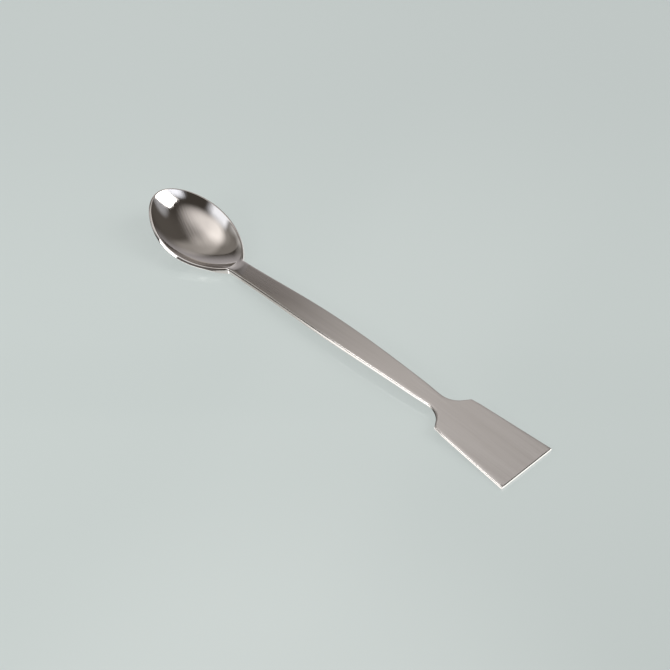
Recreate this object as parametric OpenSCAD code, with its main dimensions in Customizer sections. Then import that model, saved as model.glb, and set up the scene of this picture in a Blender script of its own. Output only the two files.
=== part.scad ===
// Spoon spatula: one piece of stainless steel strip, with a dished bowl at one end of a narrow
// handle and a flat blade at the other. Millimetres, +X from bowl to blade, +Z up.
// It lies as it rests, on the underside of the bowl and on the lower edge of the blade's end,
// and its origin is at the bottom centre of its box.

/* [Overall] */
// Length over all, along the plane of the blade
length = 180; // [150:1:240]

/* [Bowl] */
// Length of the bowl's mouth, measured inside the rim
mouth_length = 41.9; // [32:0.1:50]
// Width of the bowl's mouth, measured inside the rim
mouth_width = 27.4; // [18:0.1:34]
// Share by which the mouth is wider towards the tip than towards the neck
mouth_egg = 0.1; // [0:0.01:0.15]
// Share by which both ends of the mouth are slimmer than an oval's
mouth_taper = 0.18; // [0:0.01:0.25]
// Depth of the dish below the line of the rim
bowl_depth = 3.5; // [2.5:0.1:6]
// Shape of the dish: 2 is an even curve, more gives a flatter floor and steeper walls
dish_power = 3; // [2:0.1:4]
// Thickness of the wall at the rim, measured straight down
rim_thickness = 0.85; // [0.5:0.05:1.4]
// Distance that the lower edge of the rim stands out beyond the mouth
rim_lean = 0.8; // [0.4:0.05:1.2]
// Thickness of the wall at the bottom of the dish
floor_thickness = 1.2; // [0.8:0.05:1.8]

/* [Bend between handle and bowl] */
// Angle at which the front of the rim rises above the plane of the blade
rim_rise = 16.4; // [5:0.1:25]
// Radius of the bend in side view
bend_radius = 77; // [45:1:90]
// Distance from the bowl's mouth to where the bend starts, on the handle
bend_offset = 5.6; // [2:0.1:12]

/* [Handle] */
// Width of the neck, next to the bowl
neck_width = 6.85; // [5:0.05:9]
// Width of the handle at its widest
grip_width = 9.3; // [7:0.05:14]
// Distance from the tip of the bowl to the handle's widest place
grip_position = 89.5; // [75:0.5:110]
// Width of the handle where the shoulders of the blade begin
waist_width = 6.45; // [5:0.05:9]
// Thickness of the handle from the neck to its widest place
handle_thickness = 2; // [1.4:0.1:2.6]
// Radius of the long upward bow of the handle, in side view
bow_radius = 808; // [600:2:2000]
// Height of the slight crown across the handle's upper face
crown = 0.12; // [0:0.01:0.3]

/* [Blade] */
// Length of the blade from the corners of its shoulders to its end
blade_length = 32.6; // [20:0.1:45]
// Width of the blade across its shoulders
shoulder_width = 18.45; // [14:0.05:24]
// Width of the blade at its end
blade_width = 24.1; // [16:0.1:32]
// Thickness of the blade
blade_thickness = 1.3; // [0.8:0.05:1.8]
// Radius of the hollow curve between handle and shoulder, in plan
shoulder_radius = 8; // [4:0.5:9]
// Angle of the shoulder's straight part to the line of the handle, in plan
shoulder_angle = 56; // [40:1:65]

/* [Edges] */
// Radius of the rounding along the rim of the bowl
rim_round = 0.3; // [0.1:0.05:0.35]
// Radius of the rounding along the handle
handle_round = 0.5; // [0.2:0.05:0.65]
// Radius of the rounding along the sides of the blade
blade_round = 0.25; // [0.1:0.05:0.4]
// Width of the bevel along the edges of the blade's end
end_bevel = 0.2; // [0.05:0.05:0.3]

/* [Hidden] */

// Soft edges, as a width over which two forms run into each other: the corner in plan between
// bowl and neck, in millimetres, and the edges of the dish and of the belly where they meet the
// handle, as a share of their depth
neck_corner_blend = 0.9;
dish_blend = 0.06;
belly_blend = 0.16;
// Stretch of the neck end of the bowl over which the sheet thickens to the handle
thicken_run = 8;
// Part of a half wave that the handle's taper runs through, in degrees: short of 180, so that
// the handle still narrows where the shoulders take over
taper_sweep = 136;
// Length that is left beyond the end of the blade until the end is cut square
end_allowance = 1;

function mix(a, b, t) = a + (b - a) * t;
function limit(t, low, high) = max(low, min(high, t));
function ease(t) = (1 - cos(180 * limit(t, 0, 1))) / 2;
// The larger of two values, rounded over a width k where they cross
function soft_max(a, b, k) = max(a, b) + pow(max(k - abs(a - b), 0), 2) / (4 * k);

// ---- Places along the length, from the tip of the bowl ----
mouth_center = rim_lean + mouth_length / 2;
mouth_end = rim_lean + mouth_length;
bend_x = mouth_end + bend_offset;
corner_x = length - blade_length;
// The shoulder's outline is an arc that leaves the handle, then a straight run to the corner.
arc_run = shoulder_radius * sin(shoulder_angle);
arc_rise = shoulder_radius * (1 - cos(shoulder_angle));
straight_rise = (shoulder_width - waist_width) / 2 - arc_rise;
waist_x = corner_x - straight_rise / tan(shoulder_angle) - arc_run;

// ---- Side view: height of the upper face's centre line above the plane of the blade ----
// From the blade's corners the handle bows down on a long arc, then an opposite bend lifts the
// rim of the bowl, which runs on straight once it has reached its angle.
bow_angle = asin((corner_x - bend_x) / bow_radius);
bend_center_x = bend_x - bend_radius * sin(bow_angle);
bend_center_z = (bow_radius + bend_radius) * cos(bow_angle) - bow_radius;
ramp_x = bend_center_x - bend_radius * sin(rim_rise);
ramp_z = bend_center_z - bend_radius * cos(rim_rise);

function line_height(x) =
    x >= corner_x ? 0
    : x >= bend_x ? sqrt(pow(bow_radius, 2) - pow(corner_x - x, 2)) - bow_radius
    : x >= ramp_x ? bend_center_z - sqrt(pow(bend_radius, 2) - pow(x - bend_center_x, 2))
    : ramp_z + (ramp_x - x) * tan(rim_rise);

// ---- Plan view: half widths ----
// Place along the mouth, -1 at its tip and 1 at its neck end, for an outline grown by g
function along_mouth(x, g) = (x - mouth_center) / (mouth_length / 2 + g);
function fullness(u) = 1 - mouth_egg * u - mouth_taper * u * u;
function bowl_half(x, g) =
    let (u = along_mouth(x, g))
    abs(u) >= 1 ? 0 : (mouth_width / 2 + g) * sqrt(1 - u * u) * fullness(u);

function taper(x) =
    (1 - cos(taper_sweep * (x - grip_position) / (waist_x - grip_position)))
    / (1 - cos(taper_sweep));
function handle_half(x) =
    x <= grip_position
        ? mix(neck_width, grip_width, ease((x - mouth_end) / (grip_position - mouth_end))) / 2
    : x <= waist_x
        ? mix(grip_width, waist_width, taper(x)) / 2
    : x <= waist_x + arc_run
        ? waist_width / 2 + shoulder_radius - sqrt(pow(shoulder_radius, 2) - pow(x - waist_x, 2))
    : x <= corner_x
        ? shoulder_width / 2 - (corner_x - x) * tan(shoulder_angle)
    : mix(shoulder_width, blade_width, (x - corner_x) / blade_length) / 2;

// Half width of the whole piece, with the bowl grown by g and the rest by h
function outline(x, g, h) =
    x < mouth_center ? bowl_half(x, g)
    : soft_max(bowl_half(x, g), handle_half(x) + h, neck_corner_blend);
// A station moves out along the length with the bowl's outline, and keeps its place elsewhere.
function spread(x, g) =
    let (u = along_mouth(x, 0))
    x + g * (u <= 1 ? u : max(0, 2 - u));

// ---- Upper and lower faces ----
// How far down the dish is at a place: 0 outside the mouth, 1 at its centre
function hollow(x, y, g, blend) =
    let (u = along_mouth(x, g),
         v = y / ((mouth_width / 2 + g) * fullness(limit(u, -1, 1))))
    soft_max(1 - pow(u * u + v * v, dish_power / 2), 0, blend);

function neck_share(x) = ease((x - mouth_end) / thicken_run + 1);
function blade_share(x) = limit((x - grip_position) / (corner_x - grip_position), 0, 1);
// A value that runs from the rim's to the handle's over the neck, and on to the blade's
function along(x, rim, handle, blade) =
    mix(mix(rim, handle, neck_share(x)), blade, blade_share(x));

function crown_height(x, y) =
    x < mouth_center ? 0 : along(x, 0, crown, 0) * (1 - pow(y / outline(x, 0, 0), 2));
function top(x, y) =
    line_height(x) + crown_height(x, y) - bowl_depth * hollow(x, y, 0, dish_blend);
belly_depth = bowl_depth + floor_thickness - rim_thickness;
function bottom(x, y) =
    line_height(x)
    - along(x, rim_thickness, handle_thickness, blade_thickness)
    - belly_depth * hollow(x, y, rim_lean, belly_blend);

// A point on the upper or lower face, at a share of the way across
function upper(x, g, h, across) =
    let (px = spread(x, g), py = across * outline(px, g, h))
    [px, py, top(px, py)];
function lower(x, g, h, across) =
    let (px = spread(x, g), py = across * outline(px, g, h))
    [px, py, bottom(px, py)];

// ---- Sections ----
bowl_steps = 30;
neck_steps = 7;
handle_steps = 12;
shoulder_steps = 6;
columns = 20;
round_steps = 3;

// The bowl's stations close up towards its tip, where its outline turns fastest.
bowl_sweep = 158;
bowl_stop = mouth_center - mouth_length / 2 * cos(bowl_sweep);
stations = concat(
    [for (i = [0 : bowl_steps])
        mouth_center - mouth_length / 2 * cos(bowl_sweep * i / bowl_steps)],
    [for (i = [1 : neck_steps]) mix(bowl_stop, bend_x, i / neck_steps)],
    [for (i = [1 : handle_steps]) mix(bend_x, waist_x, i / handle_steps)],
    [for (i = [1 : shoulder_steps])
        waist_x + shoulder_radius * sin(shoulder_angle * i / shoulder_steps)],
    [corner_x, length + end_allowance]
);
last = len(stations) - 1;

edge_points = 2 * round_steps;
ring_size = 2 * (columns + 1 + edge_points);

// The rounded edge from the upper face to the lower one, on the side given as 1 or -1
function edge(x, r, side) =
    let (a = upper(x, 0, 0, side),
         a_in = upper(x, -r, -r, side),
         b = lower(x, rim_lean, 0, side),
         b_in = lower(x, rim_lean - r, -r, side),
         down = (b - a) * r / norm(b - a))
    concat(
        [for (k = [1 : round_steps])
            let (t = 90 * k / round_steps)
            a + (a_in - a) * (1 - sin(t)) + down * (1 - cos(t))],
        [for (k = [round_steps : -1 : 1])
            let (t = 90 * k / round_steps)
            b + (b_in - b) * (1 - sin(t)) - down * (1 - cos(t))]
    );

// One closed section: across the upper face, round the edge, back across the lower face
function ring(x) =
    let (r = along(x, rim_round, handle_round, blade_round), right = edge(x, r, 1))
    concat(
        [for (j = [0 : columns]) upper(x, -r, -r, 1 - 2 * j / columns)],
        edge(x, r, -1),
        [for (j = [0 : columns]) lower(x, rim_lean - r, -r, 2 * j / columns - 1)],
        [for (k = [edge_points - 1 : -1 : 0]) right[k]]
    );
points = [for (x = stations) each ring(x)];

// Point j of section i. At the tip the two halves of the section meet and share their points.
lower_start = columns + 1 + edge_points;
lower_end = lower_start + columns;
function at(i, j) =
    let (k = j % ring_size)
    i > 0 ? i * ring_size + k
    : k <= columns ? 0
    : k < lower_start ? k
    : k <= lower_end ? lower_start
    : columns + ring_size - k;

function is_face(f) = f[0] != f[1] && f[1] != f[2] && f[2] != f[0];
sides = [
    for (i = [0 : last - 1])
        for (j = [0 : ring_size - 1])
            for (f = [[at(i, j), at(i + 1, j + 1), at(i, j + 1)],
                      [at(i, j), at(i + 1, j), at(i + 1, j + 1)]])
                if (is_face(f)) f
];
end_face = [for (j = [ring_size - 1 : -1 : 0]) at(last, j)];

// ---- Resting place ----
// The lower edge of the blade's end stays put, and the piece turns about it until its lowest
// other place, under the bowl, is on the table too.
rest_x = length - end_bevel;
rest_z = -blade_thickness;
rest_angle = atan(max([for (p = points) if (p.x < corner_x) (rest_z - p.z) / (rest_x - p.x)]));
function reach(p) = (p.x - rest_x) * cos(rest_angle) + (p.z - rest_z) * sin(rest_angle);
tip_reach = min([for (p = points) reach(p)]);
end_reach = reach([length, 0, -end_bevel]);

// Bowl, handle and blade as one formed strip, in the plane of the blade
module blank() {
    polyhedron(points = points, faces = concat(sides, [end_face]), convexity = 6);
}

// What is ground off the end of the strip: the allowance, and a bevel on either edge
module end_grinding() {
    wide = 2 * blade_width;
    translate([length, -wide / 2, -wide / 2])
        cube([2 * end_allowance, wide, wide]);
    for (z = [0, -blade_thickness])
        translate([length, 0, z])
            rotate([0, 45, 0])
                cube([end_bevel * sqrt(2), wide, end_bevel * sqrt(2)], center = true);
}

module spatula() {
    color([0.72, 0.72, 0.71])
        translate([-(tip_reach + end_reach) / 2, 0, 0])
            rotate([0, rest_angle, 0])
                translate([-rest_x, 0, -rest_z])
                    difference() {
                        blank();
                        end_grinding();
                    }
}

spatula();
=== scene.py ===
import bpy
import numpy as np
from mathutils import Matrix, Vector


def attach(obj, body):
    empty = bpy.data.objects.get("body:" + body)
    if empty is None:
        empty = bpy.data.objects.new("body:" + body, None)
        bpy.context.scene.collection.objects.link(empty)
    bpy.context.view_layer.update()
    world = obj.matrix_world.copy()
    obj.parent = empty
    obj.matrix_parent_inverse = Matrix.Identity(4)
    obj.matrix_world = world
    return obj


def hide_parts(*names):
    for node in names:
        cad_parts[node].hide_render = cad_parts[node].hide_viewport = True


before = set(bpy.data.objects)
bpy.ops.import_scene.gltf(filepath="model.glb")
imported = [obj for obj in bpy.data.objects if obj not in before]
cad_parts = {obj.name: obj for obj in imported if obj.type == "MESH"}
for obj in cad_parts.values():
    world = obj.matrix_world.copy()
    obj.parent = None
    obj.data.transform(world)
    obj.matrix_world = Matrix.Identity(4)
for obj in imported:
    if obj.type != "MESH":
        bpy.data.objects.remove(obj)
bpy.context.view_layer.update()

# ---------------------------------------------------------------------------------------------
# The formed strip. The real piece is one strip of stainless steel: its spoon end is dished in a
# press, the handle is bowed and its edges are rounded, and the blade's end is ground square.
# ---------------------------------------------------------------------------------------------
MM = 0.001
# Sizes in millimetres. The strip's own x runs from the tip of the bowl to the end of the blade.
length = 180.0
# The bowl: its mouth, its dish and its wall.
mouth_length, mouth_width, mouth_egg, mouth_taper = 41.9, 27.4, 0.10, 0.18
bowl_depth, dish_power = 3.5, 3.0
rim_thickness, rim_lean, floor_thickness = 0.85, 0.8, 1.2
# The bend that lifts the bowl, and the bowed handle.
rim_rise, bend_radius, bend_offset = np.radians(16.4), 77.0, 5.6
neck_width, grip_width, grip_position, waist_width = 6.85, 9.3, 89.5, 6.45
handle_thickness, bow_radius, crown = 2.0, 808.0, 0.12
# The blade and its shoulders.
blade_length, shoulder_width, blade_width, blade_thickness = 32.6, 18.45, 24.1, 1.3
shoulder_radius, shoulder_angle = 8.0, np.radians(56)
# The edges: their roundings, how far they stand out, and how the upper face rolls off to them.
rim_round, handle_round, blade_round, end_bevel = 0.3, 0.5, 0.25, 0.2
edge_stand, waist_fade, corner_fade = 0.25, 8.0, 4.0
roll_width, handle_roll, blade_roll = 1.1, 0.18, 0.28
# The blends between the forms.
neck_corner_blend, dish_blend, belly_blend = 0.9, 0.06, 0.16
runout_blend, runout_start, runout_share = 0.34, 0.78, 0.2
thicken_run, taper_sweep = 8.0, np.radians(136)


def mix(a, b, t):
    return a + (b - a) * t


def ease(t):
    return (1 - np.cos(np.pi * np.clip(t, 0, 1))) / 2


def soft_max(a, b, k):
    """The larger of two values, with the corner between them rounded over k."""
    return np.maximum(a, b) + np.maximum(k - abs(a - b), 0) ** 2 / (4 * k)


mouth_center = rim_lean + mouth_length / 2
mouth_end = rim_lean + mouth_length
bend_x = mouth_end + bend_offset
corner_x = length - blade_length
arc_run = shoulder_radius * np.sin(shoulder_angle)
arc_rise = shoulder_radius * (1 - np.cos(shoulder_angle))
straight_rise = (shoulder_width - waist_width) / 2 - arc_rise
waist_x = corner_x - straight_rise / np.tan(shoulder_angle) - arc_run
bow_angle = np.arcsin((corner_x - bend_x) / bow_radius)
bend_center_x = bend_x - bend_radius * np.sin(bow_angle)
bend_center_z = (bow_radius + bend_radius) * np.cos(bow_angle) - bow_radius
ramp_x = bend_center_x - bend_radius * np.sin(rim_rise)
ramp_z = bend_center_z - bend_radius * np.cos(rim_rise)


def line_height(x):
    """Height of the strip's upper line: the bowed handle, the bend, and the ramp of the bowl."""
    # The clips only keep each arc's root real outside the arc's own reach.
    bow = np.sqrt(bow_radius**2 - np.clip(corner_x - x, 0, 200) ** 2) - bow_radius
    bend = bend_center_z - np.sqrt(bend_radius**2 - np.clip(x - bend_center_x, -60, 60) ** 2)
    ramp = ramp_z + (ramp_x - x) * np.tan(rim_rise)
    return np.where(x >= bend_x, bow, np.where(x >= ramp_x, bend, ramp))


def along_mouth(x, g):
    """Place along a mouth grown by g: -1 at its tip and 1 at its end by the neck."""
    return (x - mouth_center) / (mouth_length / 2 + g)


def fullness(u):
    """The mouth's width as a share of an oval's: wider towards the tip, slimmer at both ends."""
    return 1 - mouth_egg * u - mouth_taper * u * u


def bowl_half(x, g):
    u = along_mouth(x, g)
    return (mouth_width / 2 + g) * np.sqrt(np.maximum(1 - u * u, 0)) * fullness(u)


def handle_half(x):
    """Half the width from the neck to the blade's end."""
    neck = mix(neck_width, grip_width, ease((x - mouth_end) / (grip_position - mouth_end))) / 2
    run = (x - grip_position) / (waist_x - grip_position)
    grip = mix(grip_width, waist_width, (1 - np.cos(taper_sweep * run)) / (1 - np.cos(taper_sweep))) / 2
    arc = np.clip(x - waist_x, 0, arc_run)
    hollow_side = waist_width / 2 + shoulder_radius - np.sqrt(shoulder_radius**2 - arc**2)
    straight = shoulder_width / 2 - (corner_x - x) * np.tan(shoulder_angle)
    blade = mix(shoulder_width, blade_width, (x - corner_x) / blade_length) / 2
    half = np.select(
        [x <= grip_position, x <= waist_x, x <= waist_x + arc_run, x <= corner_x],
        [neck, grip, hollow_side, straight],
        blade,
    )
    # Beside the handle and the blade the ground edge is rolled out a little.
    return half + edge_stand * (ease((waist_x - x) / waist_fade) + ease((x - corner_x) / corner_fade))


def outline(x, g, h):
    """Half the width anywhere, with the bowl grown by g and the handle by h."""
    bowl = bowl_half(x, g)
    return np.where(x < mouth_center, bowl, soft_max(bowl, handle_half(x) + h, neck_corner_blend))


def spread(x, g):
    """Moves a section of the bowl out from its middle, by g at the tip, and none of the handle."""
    u = along_mouth(x, 0)
    return x + g * np.where(u <= 1, u, np.maximum(0, 2 - u))


def hollow(x, y, g, blend):
    """Depth of the dish at a point, as a share of its full depth."""
    u = along_mouth(x, g)
    v = y / ((mouth_width / 2 + g) * fullness(np.clip(u, -1, 1)))
    # At the neck the mouth has no edge: buffing has run the dish out into the handle's face.
    blend = mix(blend, runout_blend, ease((u - runout_start) / runout_share))
    return soft_max(1 - (u * u + v * v) ** (dish_power / 2), 0, blend)


def along(x, rim, handle, blade):
    """A size that differs at the rim, on the handle and on the blade, and changes smoothly."""
    neck = ease((x - mouth_end) / thicken_run + 1)
    onto_blade = np.clip((x - grip_position) / (corner_x - grip_position), 0, 1)
    return mix(mix(rim, handle, neck), blade, onto_blade)


# At the very tip the strip has no width, and the crown's division needs some.
least_half = 0.001


def upper(x, g, h, across):
    """Points of the upper face, across from 1 at one edge to -1 at the other."""
    px = spread(x, g)
    py = across * outline(px, g, h)
    half = np.maximum(outline(px, 0, 0), least_half)
    rise = np.where(px < mouth_center, 0, along(px, 0, crown, 0) * (1 - (py / half) ** 2))
    # Brushing takes a little more off beside the edges than in the middle.
    near_edge = np.clip(1 - (half - abs(py)) / roll_width, 0, 1)
    rise = rise - along(px, 0, handle_roll, blade_roll) * near_edge**2
    z = line_height(px) + rise - bowl_depth * hollow(px, py, 0, dish_blend)
    return np.stack([px + 0 * py, py, z], -1)


def lower(x, g, h, across):
    """Points of the underside, in the same way."""
    px = spread(x, g)
    py = across * outline(px, g, h)
    belly = (bowl_depth + floor_thickness - rim_thickness) * hollow(px, py, rim_lean, belly_blend)
    z = line_height(px) - along(px, rim_thickness, handle_thickness, blade_thickness) - belly
    return np.stack([px + 0 * py, py, z], -1)


# Sections run from the tip of the bowl to the blade's end, close together where the form turns.
bowl_sections, neck_sections, handle_sections = 140, 40, 80
hollow_sections, slope_sections, blade_sections = 24, 6, 24
columns, round_steps = 72, 6


def sections_between(start, end, sections):
    return np.linspace(start, end, sections + 1)[1:]


bowl_sweep = np.radians(158)
bowl_stop = mouth_center - mouth_length / 2 * np.cos(bowl_sweep)
stations = np.concatenate([
    mouth_center - mouth_length / 2 * np.cos(np.linspace(0, bowl_sweep, bowl_sections + 1)),
    sections_between(bowl_stop, bend_x, neck_sections),
    sections_between(bend_x, waist_x, handle_sections),
    waist_x + shoulder_radius * np.sin(sections_between(0, shoulder_angle, hollow_sections)),
    sections_between(waist_x + arc_run, corner_x, slope_sections),
    sections_between(corner_x, length - end_bevel, blade_sections),
])
station_x = stations[:, None]
radius = along(station_x, rim_round, handle_round, blade_round)
across = 1 - 2 * np.arange(columns + 1)[None, :] / columns
turn = np.arange(1, round_steps + 1)[None, :, None] * (np.pi / 2 / round_steps)


def rounded_edge(side):
    """The cut side between the two faces, with a quarter round at its upper and lower edge."""
    top_edge = upper(station_x, 0, 0, side)
    top_in = upper(station_x, -radius, -radius, side)
    low_edge = lower(station_x, rim_lean, 0, side)
    low_in = lower(station_x, rim_lean - radius, -radius, side)
    down = low_edge - top_edge
    down = down / np.linalg.norm(down, axis=-1, keepdims=True) * radius[..., None]
    above = top_edge + (top_in - top_edge) * (1 - np.sin(turn)) + down * (1 - np.cos(turn))
    below = low_edge + (low_in - low_edge) * (1 - np.sin(turn)) - down * (1 - np.cos(turn))
    return np.concatenate([above, below[:, ::-1]], 1)


rings = np.concatenate([
    upper(station_x, -radius, -radius, across),
    rounded_edge(-1.0),
    lower(station_x, rim_lean - radius, -radius, -across),
    rounded_edge(1.0)[:, ::-1],
], 1)
# The last ring is the end face, set in by the bevel on its upper and lower edges.
end_ring = rings[-1].copy()
end_ring[:, 0] = length
end_ring[:, 2] = np.clip(end_ring[:, 2], end_bevel - blade_thickness, -end_bevel)
rings = np.concatenate([rings, end_ring[None]], 0)

# The piece lies on the lower edge of its end and on the underside of its bowl.
rest_x, rest_z = length - end_bevel, -blade_thickness
flat_points = rings.reshape(-1, 3)
ahead = flat_points[flat_points[:, 0] < corner_x]
rest_angle = np.arctan(np.max((rest_z - ahead[:, 2]) / (rest_x - ahead[:, 0])))
shift = flat_points - [rest_x, 0, rest_z]
lying = np.stack([
    shift[:, 0] * np.cos(rest_angle) + shift[:, 2] * np.sin(rest_angle),
    shift[:, 1],
    shift[:, 2] * np.cos(rest_angle) - shift[:, 0] * np.sin(rest_angle),
], -1)
lying[:, 0] -= (lying[:, 0].min() + lying[:, 0].max()) / 2

section_size = rings.shape[1]
count = len(rings)
index = np.arange(count * section_size).reshape(count, section_size)
# The tip's section is a line: both its halves share the points of one edge.
low_start = columns + 1 + 2 * round_steps
slot = np.arange(section_size)
index[0] = np.select(
    [slot <= columns, slot < low_start, slot <= low_start + columns],
    [0 * slot, slot, 0 * slot + low_start],
    columns + section_size - slot,
)
# The grain's own map: millimetres round the section, and millimetres along the strip.
closed_rings = np.concatenate([rings, rings[:, :1]], 1)
steps_round = np.linalg.norm(np.diff(closed_rings, axis=1), axis=-1)
around = np.concatenate([np.zeros((count, 1)), np.cumsum(steps_round, 1)], 1)
around -= around[:, columns // 2 : columns // 2 + 1]
along_strip = closed_rings[..., 0]
faces, grain_places = [], []
for row in range(count - 1):
    for n in range(section_size):
        corners = [(row, n), (row, n + 1), (row + 1, n + 1), (row + 1, n)]
        points = [int(index[r, c % section_size]) for r, c in corners]
        kept = [m for m in range(4) if points[m] != points[m - 1]]
        if len({points[m] for m in kept}) >= 3:
            faces.append([points[m] for m in kept])
            grain_places += [(around[corners[m]], along_strip[corners[m]]) for m in kept]
faces.append(index[-1][::-1].tolist())
grain_places += [(z, y) for _, y, z in rings[-1][::-1]]

used = sorted({point for face in faces for point in face})
place = {point: n for n, point in enumerate(used)}
sharp_angle = np.radians(32)
mesh = bpy.data.meshes.new("formed_strip")
mesh.from_pydata(
    (lying[used] * MM).tolist(), [], [[place[point] for point in face] for face in faces]
)
mesh.polygons.foreach_set("use_smooth", [True] * len(mesh.polygons))
mesh.set_sharp_from_angle(angle=sharp_angle)
mesh.uv_layers.new(name="grain").data.foreach_set("uv", np.array(grain_places).ravel())


def node(tree, kind, **values):
    """Adds a node, with its settings by attribute name and its inputs by socket name."""
    made = tree.nodes.new("ShaderNode" + kind)
    made.location.x = 200 * len(tree.nodes)
    for key, value in values.items():
        if hasattr(made, key):
            setattr(made, key, value)
        else:
            made.inputs[key].default_value = value
    return made


def feed(tree, socket, value):
    """Links another node's output to a socket, or sets a plain value on it."""
    if isinstance(value, bpy.types.NodeSocket):
        tree.links.new(value, socket)
    else:
        socket.default_value = value


def work_out(tree, operation, *values, kind="Math"):
    """A Math or VectorMath node of sockets and plain values."""
    made = node(tree, kind, operation=operation)
    for socket, value in zip(made.inputs, values):
        feed(tree, socket, value)
    gives_number = kind == "Math" or operation in ("DOT_PRODUCT", "LENGTH")
    return made.outputs["Value" if gives_number else "Vector"]


def blend(tree, amount, first, second, data_type="FLOAT"):
    """A Mix node of numbers or colours."""
    made = node(tree, "Mix", data_type=data_type)
    ports = (0, 2, 3) if data_type == "FLOAT" else (0, 6, 7)
    for port, value in zip(ports, (amount, first, second)):
        feed(tree, made.inputs[port], value)
    return made.outputs[0 if data_type == "FLOAT" else 2]


def span(tree, value, start, end, low, high, interpolation_type="SMOOTHSTEP"):
    """Turns a value between start and end into one between low and high."""
    made = node(tree, "MapRange", interpolation_type=interpolation_type)
    for socket, number in zip(made.inputs, (value, start, end, low, high)):
        feed(tree, socket, number)
    return made.outputs[0]


def noise(tree, surface, scale, detail, roughness=0.5):
    made = node(tree, "TexNoise", Scale=scale, Detail=detail, Roughness=roughness)
    tree.links.new(surface, made.inputs["Vector"])
    return made.outputs[0]


def new_group(name, inputs, outputs):
    group = bpy.data.node_groups.new(name, "ShaderNodeTree")
    for socket, kind, value in inputs:
        made = group.interface.new_socket(socket, in_out="INPUT", socket_type="NodeSocket" + kind)
        if value is not None:
            made.default_value = value
    for socket, kind in outputs:
        group.interface.new_socket(socket, in_out="OUTPUT", socket_type="NodeSocket" + kind)
    return group, group.nodes.new("NodeGroupInput").outputs, group.nodes.new("NodeGroupOutput").inputs


# Grinding lines: long thin scratches of the belt, fine ones over a few wide ones.
grinding, given, result = new_group(
    "grinding_lines",
    [("Surface", "Vector", None), ("Lines per mm", "Float", 3.0), ("Line length", "Float", 20.0)],
    [("Height", "Float"), ("Tone", "Float")],
)
stretch = node(grinding, "CombineXYZ")
feed(grinding, stretch.inputs["X"], given["Lines per mm"])
feed(grinding, stretch.inputs["Y"], work_out(grinding, "DIVIDE", 1, given["Line length"]))
drawn_out = work_out(grinding, "MULTIPLY", given["Surface"], stretch.outputs[0], kind="VectorMath")
fine_lines = noise(grinding, drawn_out, 1.0, 3.0, 0.6)
wide_lines = noise(grinding, drawn_out, 0.22, 2.0)
feed(grinding, result["Height"], fine_lines)
feed(grinding, result["Tone"], blend(grinding, 0.45, fine_lines, wide_lines))

# Handled edges: the outer edges are rubbed bright, unevenly along the strip.
rubbing, given, result = new_group(
    "rubbed_edges",
    [("Surface", "Vector", None), ("Amount", "Float", 0.5)],
    [("Rubbed", "Float")],
)
shape = node(rubbing, "NewGeometry")
outer_edge = span(rubbing, shape.outputs["Pointiness"], 0.51, 0.56, 0, 1, "LINEAR")
uneven = work_out(rubbing, "MULTIPLY", outer_edge, noise(rubbing, given["Surface"], 0.35, 3.0))
feed(rubbing, result["Rubbed"], work_out(rubbing, "MULTIPLY", uneven, given["Amount"]))


def new_material(name, onto):
    made = bpy.data.materials.new(name)
    made.use_nodes = True
    onto.materials.append(made)
    return made.node_tree, made.node_tree.nodes["Principled BSDF"]


def worked_lines(tree, surface, lines_per_mm, line_length):
    """Lines of a belt or a buff, of one size: their height and their tone."""
    lines = node(tree, "Group", node_tree=grinding)
    feed(tree, lines.inputs["Surface"], surface)
    feed(tree, lines.inputs["Lines per mm"], lines_per_mm)
    feed(tree, lines.inputs["Line length"], line_length)
    return lines.outputs["Height"], lines.outputs["Tone"]


def scratched(tree, bsdf, height, depth):
    """Gives the lines their real depth in millimetres, as a bump."""
    bump = node(tree, "Bump", Strength=1.0, Distance=depth * MM)
    feed(tree, bump.inputs["Height"], height)
    feed(tree, bsdf.inputs["Normal"], bump.outputs[0])


# The strip: the bowl is buffed across to a mirror, and from the neck on the steel is brushed
# lengthwise, more and more matt towards the blade.
buff_turn, buff_per_mm, buff_length = np.radians(19), 1.8, 9
brush_per_mm, brush_length = 3.0, 40
streaks_per_mm, streak_length = 0.5, 34
buff_slant, buff_stop, brush_start = 0.49, -44.3, -42.9
neck_stop, grip_start = -34, 2
bowl_tones = (0.615, 0.588, 0.565, 1), (0.645, 0.616, 0.592, 1)
neck_tones = (0.475, 0.443, 0.413, 1), (0.555, 0.521, 0.49, 1)
grip_tones = (0.484, 0.456, 0.433, 1), (0.559, 0.53, 0.506, 1)
rubbed_tone, rubbed_amount = (0.72, 0.70, 0.68, 1), 0.3
# Most values of the lines' tone lie between these, and of two tones mixed between the others.
usual, usual_mixed = (0.3, 0.7), (0.36, 0.64)

tree, bsdf = new_material("strip_steel", mesh)
bsdf.inputs["Metallic"].default_value = 1
surface = node(tree, "UVMap", uv_map="grain").outputs[0]
turned = node(tree, "Mapping", Rotation=(0, 0, buff_turn))
feed(tree, turned.inputs["Vector"], surface)
brush_height, brush_tone = worked_lines(tree, surface, brush_per_mm, brush_length)
buff_height, buff_tone = worked_lines(tree, turned.outputs[0], buff_per_mm, buff_length)
# Broad faint streaks lie under the fine lines, where the belt bore harder.
streak_tone = worked_lines(tree, surface, streaks_per_mm, streak_length)[1]
lines_tone = blend(tree, 0.5, brush_tone, streak_tone)

# The buffing stops along a slanted line by the neck, and the handle turns matt over its first half.
# Both ways also turn metres into millimetres.
on_strip = node(tree, "TexCoord").outputs
slant_way, long_way = (1 / MM, buff_slant / MM, 0), (1 / MM, 0, 0)
slanted = work_out(tree, "DOT_PRODUCT", on_strip["Object"], slant_way, kind="VectorMath")
lengthwise = work_out(tree, "DOT_PRODUCT", on_strip["Object"], long_way, kind="VectorMath")
past_bowl = span(tree, slanted, buff_stop, brush_start, 0, 1)
onto_grip = span(tree, lengthwise, neck_stop, grip_start, 0, 1)
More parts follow.
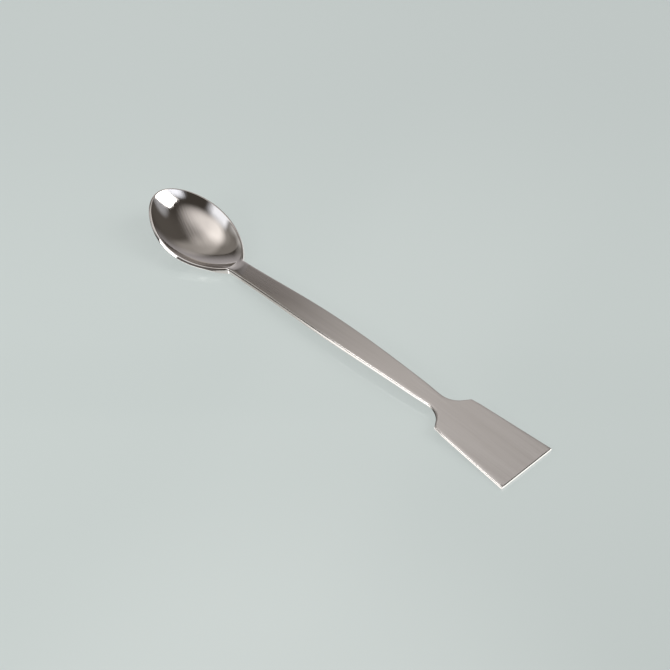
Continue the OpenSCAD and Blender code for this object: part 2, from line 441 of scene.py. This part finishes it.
# The cut sides stand upright, so their normals lie flat: they are burnished, not brushed.
side_lean, face_lean = 0.66, 0.87
normal_parts = node(tree, "SeparateXYZ")
feed(tree, normal_parts.inputs[0], on_strip["Normal"])
lean = work_out(tree, "ABSOLUTE", normal_parts.outputs["Z"])
on_side = span(tree, lean, side_lean, face_lean, 1, 0)

bowl_roughness = span(tree, buff_tone, *usual, 0.045, 0.085)
neck_roughness = span(tree, lines_tone, *usual_mixed, 0.24, 0.32)
grip_roughness = span(tree, lines_tone, *usual_mixed, 0.41, 0.51)
side_roughness = 0.18
face_roughness = blend(tree, onto_grip, neck_roughness, grip_roughness)
brushed_roughness = blend(tree, on_side, face_roughness, side_roughness)
feed(tree, bsdf.inputs["Roughness"], blend(tree, past_bowl, bowl_roughness, brushed_roughness))

lined = span(tree, lines_tone, *usual_mixed, 0, 1)
bowl_tone = blend(tree, buff_tone, *bowl_tones, "RGBA")
neck_tone = blend(tree, lined, *neck_tones, "RGBA")
grip_tone = blend(tree, lined, *grip_tones, "RGBA")
matt_tone = blend(tree, onto_grip, neck_tone, grip_tone, "RGBA")
steel_tone = blend(tree, past_bowl, bowl_tone, matt_tone, "RGBA")
rubbed = node(tree, "Group", node_tree=rubbing)
feed(tree, rubbed.inputs["Surface"], surface)
feed(tree, rubbed.inputs["Amount"], rubbed_amount)
feed(tree, bsdf.inputs["Base Color"], blend(tree, rubbed.outputs[0], steel_tone, rubbed_tone, "RGBA"))

# The brushed lines have less than half the depth of the buffed ones, and the sides have none.
buff_depth, brush_share = 0.011, 0.4
shallow = work_out(tree, "MULTIPLY", brush_height, brush_share)
brushed_height = blend(tree, on_side, shallow, brush_share / 2)
scratched(tree, bsdf, blend(tree, past_bowl, buff_height, brushed_height), buff_depth)
# The lines draw a highlight out across them.
bsdf.inputs["Anisotropic"].default_value = 0.9
along_lines = node(tree, "Tangent", direction_type="UV_MAP", uv_map="grain")
feed(tree, bsdf.inputs["Tangent"], along_lines.outputs[0])

# The blade's end: ground square across the strip, with coarser and shorter lines.
end_per_mm, end_length, end_depth = 6.0, 8, 0.003
end_tones = (0.56, 0.535, 0.51, 1), (0.66, 0.635, 0.61, 1)
tree, bsdf = new_material("ground_end", mesh)
bsdf.inputs["Metallic"].default_value = 1
surface = node(tree, "UVMap", uv_map="grain").outputs[0]
end_height, end_tone = worked_lines(tree, surface, end_per_mm, end_length)
feed(tree, bsdf.inputs["Roughness"], span(tree, end_tone, *usual, 0.18, 0.30))
feed(tree, bsdf.inputs["Base Color"], blend(tree, end_tone, *end_tones, "RGBA"))
scratched(tree, bsdf, end_height, end_depth)
mesh.polygons[len(mesh.polygons) - 1].material_index = 1

strip = bpy.data.objects.new("formed_strip", mesh)
bpy.context.scene.collection.objects.link(strip)
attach(strip, "root")
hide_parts("spatula")

# ---------------------------------------------------------------------------------------------
# The table: a pale sheet of opal glass that the spatula lies on, its soft light from below painted
# into it as a glow. It is the stage, so it isn't part of the object. From here on sizes are in metres.
# ---------------------------------------------------------------------------------------------
reach = 3.0
table_mesh = bpy.data.meshes.new("table_top")
table_corners = [(-reach, -reach, 0), (reach, -reach, 0), (reach, reach, 0), (-reach, reach, 0)]
table_mesh.from_pydata(table_corners, [], [(0, 1, 2, 3)])
table = bpy.data.objects.new("table_top", table_mesh)
bpy.context.scene.collection.objects.link(table)
tree, bsdf = new_material("pale_glass", table_mesh)
bsdf.inputs["Base Color"].default_value = (0.20, 0.22, 0.213, 1)
bsdf.inputs["Roughness"].default_value = 0.02
# Painted light: the sheet glows by itself, in place of light from below.
bsdf.inputs["Emission Strength"].default_value = 0.44

# The sheet's painted glow fades slowly to the right, and again beyond the middle.
lit_tone, faded_tone = (0.968, 1.058, 1.03, 1), (0.80, 0.875, 0.86, 1)
on_table = node(tree, "TexCoord").outputs["Object"]
fades = []
for way, start, end in [((0.707, 0.707, 0), -0.14, 0.14), ((-0.707, 0.707, 0), 0.0, 0.16)]:
    along_way = work_out(tree, "DOT_PRODUCT", on_table, way, kind="VectorMath")
    fades.append(span(tree, along_way, start, end, 0, 0.5))
painted_glow_tone = blend(tree, work_out(tree, "ADD", *fades), lit_tone, faded_tone, "RGBA")
feed(tree, bsdf.inputs["Emission Color"], painted_glow_tone)

# Light that has met the steel goes on through the sheet, to what lies under it.
path = node(tree, "LightPath").outputs
through = work_out(tree, "MAXIMUM", path["Is Glossy Ray"], path["Is Shadow Ray"])
clear = node(tree, "BsdfTransparent")
pane = node(tree, "MixShader")
for socket, value in zip(pane.inputs, (through, bsdf.outputs[0], clear.outputs[0])):
    feed(tree, socket, value)
feed(tree, tree.nodes["Material Output"].inputs["Surface"], pane.outputs[0])

# ---------------------------------------------------------------------------------------------
# Studio light: a round diffusing panel hangs overhead, with an upright softbox on the right and a
# wide one on the left. Low panels beside and under the glass light the near edge, and the rest of
# the room is dim, with a few pale patches.
# ---------------------------------------------------------------------------------------------
bowl_place = Vector((-0.065, 0, 0.005))
straight_up = Vector((0, 0, 1))
away_way = Vector((-1, 1, 0)).normalized()


def toward_light(right_degrees, away_degrees):
    """A direction, in degrees from straight up to the right and away from the camera."""
    tilt = np.radians(np.hypot(right_degrees, away_degrees))
    round_up = np.arctan2(away_degrees, right_degrees) + np.radians(45)
    return Vector((np.sin(tilt) * np.cos(round_up), np.sin(tilt) * np.sin(round_up), np.cos(tilt)))


def panel(name, offset, facing, upright, width, height, radiance, colour, fade, round_panel=False):
    """An area light at an offset from the bowl, that fades over a share of its width and height."""
    light = bpy.data.lights.new(name, "AREA")
    light.shape = "ELLIPSE" if round_panel else "RECTANGLE"
    light.size, light.size_y = width, height
    area = width * height * (np.pi / 4 if round_panel else 1)
    light.energy, light.color = radiance * np.pi * area, colour
    light.use_nodes = True
    tree = light.node_tree
    across_panel = node(tree, "NewGeometry").outputs["Parametric"]
    centred = work_out(tree, "SUBTRACT", across_panel, (0.5, 0.5, 0), kind="VectorMath")
    if round_panel:
        flat = work_out(tree, "MULTIPLY", centred, (1, 1, 0), kind="VectorMath")
        distances_out = [work_out(tree, "LENGTH", flat, kind="VectorMath")]
    else:
        parts = node(tree, "SeparateXYZ")
        feed(tree, parts.inputs[0], work_out(tree, "ABSOLUTE", centred, kind="VectorMath"))
        distances_out = parts.outputs[:2]
    falls = [span(tree, out, 0.5, 0.5 - soft / 2, 0, 1) for out, soft in zip(distances_out, fade)]
    strength = falls[0] if round_panel else work_out(tree, "MULTIPLY", *falls)
    feed(tree, tree.nodes["Emission"].inputs["Strength"], strength)
    box = bpy.data.objects.new(name, light)
    box.location = bowl_place + Vector(offset)
    back = -Vector(facing).normalized()
    side = Vector(upright).cross(back).normalized()
    box.rotation_euler = Matrix((side, back.cross(side), back)).transposed().to_euler()
    box.visible_camera = False
    bpy.context.scene.collection.objects.link(box)


overhead = toward_light(2, 9)
panel(
    "overhead_panel", overhead * 0.44, -overhead, (0, 1, 0),
    width=0.44, height=0.44, radiance=1.02, colour=(1, 0.962, 0.94), fade=(0.65,), round_panel=True,
)
panel(
    "right_softbox", (0.378, 0.367, 0.55), (-0.944, -0.331, 0), straight_up,
    width=0.38, height=0.70, radiance=4, colour=(1, 0.99, 0.98), fade=(0.02, 0.02),
)
left = toward_light(-25, -17)
panel(
    "left_softbox", left * 0.8, -left, (0, 1, 0),
    width=0.62, height=0.74, radiance=1.4, colour=(0.94, 0.98, 1.05), fade=(0.55, 0.8),
)
panel(
    "back_strip", (-0.088, 0.181, 0.245), (0.49, -0.516, -0.70), (0, 0.81, -0.59),
    width=0.15, height=0.40, radiance=0.29, colour=(1, 0.96, 0.92), fade=(0.7, 0.8),
)
low_side = Vector((-0.2155, -0.8646, 0.454)).normalized()
panel(
    "low_side_softbox", low_side * 0.6, -low_side, straight_up,
    width=0.25, height=0.17, radiance=6, colour=(1, 1, 1), fade=(0.1, 0.1),
)
panel(
    "under_panel", (-0.0085, -0.15, -0.225), (0, 1, 0), straight_up,
    width=0.147, height=0.36, radiance=1.65, colour=(1, 1, 1), fade=(0.1, 0.1),
)

world = bpy.data.worlds.new("studio_room")
bpy.context.scene.world = world
world.use_nodes = True
room = world.node_tree
direction = node(room, "TexCoord").outputs["Generated"]


def lobe(at, inner, outer):
    """A soft round patch of the room, full within the inner angle and gone at the outer one."""
    along_way = work_out(room, "DOT_PRODUCT", direction, at, kind="VectorMath")
    return span(room, along_way, np.cos(np.radians(outer)), np.cos(np.radians(inner)), 0, 1)


def beyond(angle, soft):
    """All that lies further down behind the table than an angle from straight up."""
    edge, soft_half = np.radians(angle), np.sin(np.radians(soft)) / 2
    across_edge = away_way * np.cos(edge) - straight_up * np.sin(edge)
    along_way = work_out(room, "DOT_PRODUCT", direction, across_edge, kind="VectorMath")
    return span(room, along_way, -soft_half, soft_half, 0, 1)


def within(first, second):
    return work_out(room, "MULTIPLY", first, second)


# Each patch has its place, its brightness and its colour. A dark gap parts the glow above it from
# the backdrop below it.
above_gap = work_out(room, "SUBTRACT", 1, beyond(44.5, 1))
below_gap = beyond(46.2, 1)
patches = [
    (within(above_gap, lobe(toward_light(-18, 30), 12, 38)), 0.2, (1, 0.95, 0.89)),
    (within(below_gap, lobe(toward_light(-2, 86), 18, 46)), 0.42, (1, 0.97, 1.01)),
    (lobe(toward_light(-66, 22), 8, 24), 0.5, (1, 1, 1)),
    (lobe(toward_light(-58, 48), 4, 26), 0.22, (1, 0.98, 0.96)),
    (lobe(toward_light(-55, 2), 4, 17), 0.4, (1, 1, 1)),
    (lobe(toward_light(-18, 93), 8, 26), 0.42, (1, 0.98, 0.97)),
    (lobe(toward_light(-50, 0), 2, 22), 0.35, (0.98, 0.99, 1)),
    (lobe(toward_light(31, -28), 6, 16), 1.6, (0.92, 0.97, 1.07)),
    (lobe(toward_light(48, 14), 3, 13), 0.4, (0.94, 0.98, 1.06)),
    (lobe(toward_light(38, 38), 5, 30), 0.05, (1, 0.93, 0.86)),
    (lobe(toward_light(-45, -60), 20, 45), 0.1, (1, 1, 1)),
    (lobe(Vector((0.35, -0.35, -0.87)), 57, 68), 0.8, (0.97, 1, 0.99)),
    (lobe(Vector((0.517, 0.516, -0.683)), 10, 26), 1.1, (0.98, 1, 1)),
    (lobe(Vector((-0.077, 0.88, -0.469)), 10, 24), 0.9, (0.97, 1, 1)),
    (lobe(toward_light(-14, 10), 0, 24), 0.14, (1, 0.98, 0.95)),
]
glow = (0.068, 0.06, 0.052)
for patch, level, colour in patches:
    light_given = [level * part for part in colour]
    glow = work_out(room, "MULTIPLY_ADD", patch, light_given, glow, kind="VectorMath")
feed(room, room.nodes["Background"].inputs["Color"], glow)

# ---------------------------------------------------------------------------------------------
# The camera: a long lens about 0.7 m from the piece, 43 degrees above the table and turned 45
# degrees round it, so the bowl lies at the far left and the blade at the near right. Its sizes are
# in millimetres, and where it aims is given in pixels of the frame.
# ---------------------------------------------------------------------------------------------
azimuth, elevation = np.radians(45.035), np.radians(43.082)
camera_distance, pixels_per_mm, frame_pixels, sensor_width = 696.9, 2.8847, 670, 36
aim_right, aim_down = 3.3, 4.63
toward = np.array([
    np.sin(azimuth) * np.cos(elevation), -np.cos(azimuth) * np.cos(elevation), np.sin(elevation)
])
right = np.array([np.cos(azimuth), np.sin(azimuth), 0])
up = np.cross(toward, right)
center = np.array([0.13, 0.0, 2.987])
aim = center + right * aim_right / pixels_per_mm - up * aim_down / pixels_per_mm
lens = bpy.data.cameras.new("camera")
lens.sensor_width = sensor_width
lens.lens = pixels_per_mm * camera_distance * sensor_width / frame_pixels
lens.clip_start = 0.01
camera = bpy.data.objects.new("camera", lens)
camera.location = (center + toward * camera_distance) * MM
camera.rotation_euler = (camera.location - Vector(aim * MM)).to_track_quat("Z", "Y").to_euler()
bpy.context.scene.collection.objects.link(camera)
bpy.context.scene.camera = camera
bpy.context.scene.view_settings.view_transform = "Standard"
